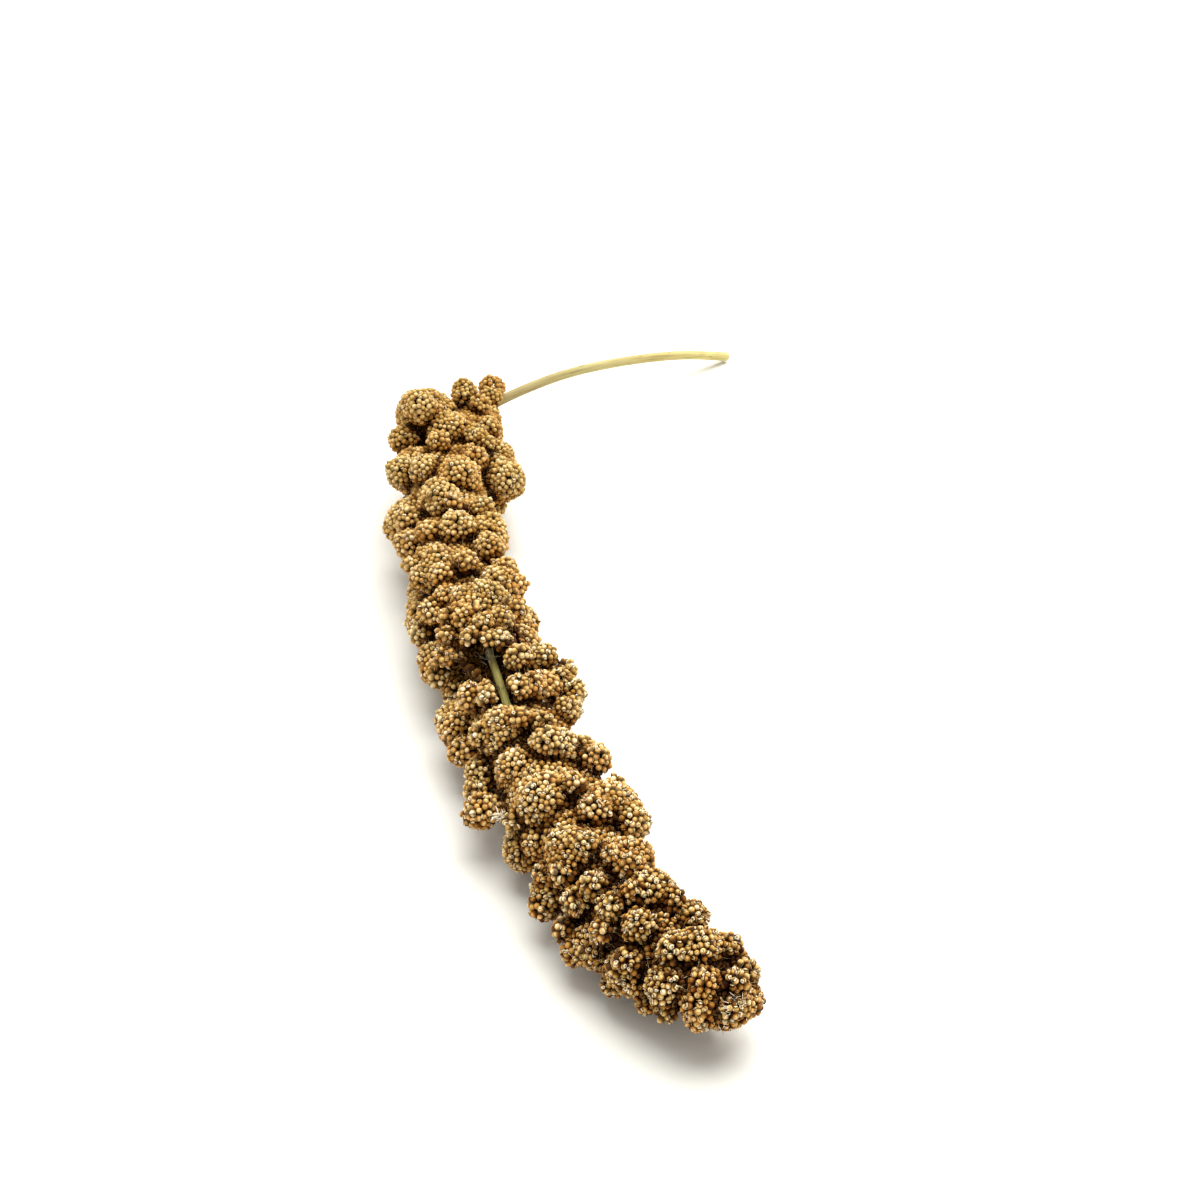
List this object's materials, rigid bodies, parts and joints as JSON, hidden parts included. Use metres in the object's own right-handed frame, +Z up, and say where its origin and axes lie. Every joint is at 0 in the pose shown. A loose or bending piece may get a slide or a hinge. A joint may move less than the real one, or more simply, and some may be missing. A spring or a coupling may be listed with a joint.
{
  "type": "millet seed head",
  "caption": "Dried foxtail millet seed head lying on its side: a long curved spike of lobes packed with round grains, on its bare cut stem.",
  "frame": {"origin": "centre of the footprint of head and stem, on the surface that the head lies on", "axes": "+Z up; +Y from the tip toward the cut end of the stem; +X to the right as seen from the tip"},
  "size_m": [0.1185, 0.3592, 0.0448],
  "materials": {
    "ripe_grain": "dry, slightly glossy husked grains, golden brown",
    "straw": "dry straw, pale yellow, satin, with fine lengthwise lines"
  },
  "bodies": {
    "root": {"grain_head": "ripe_grain", "stalk": "straw"}
  },
  "joints": []
}
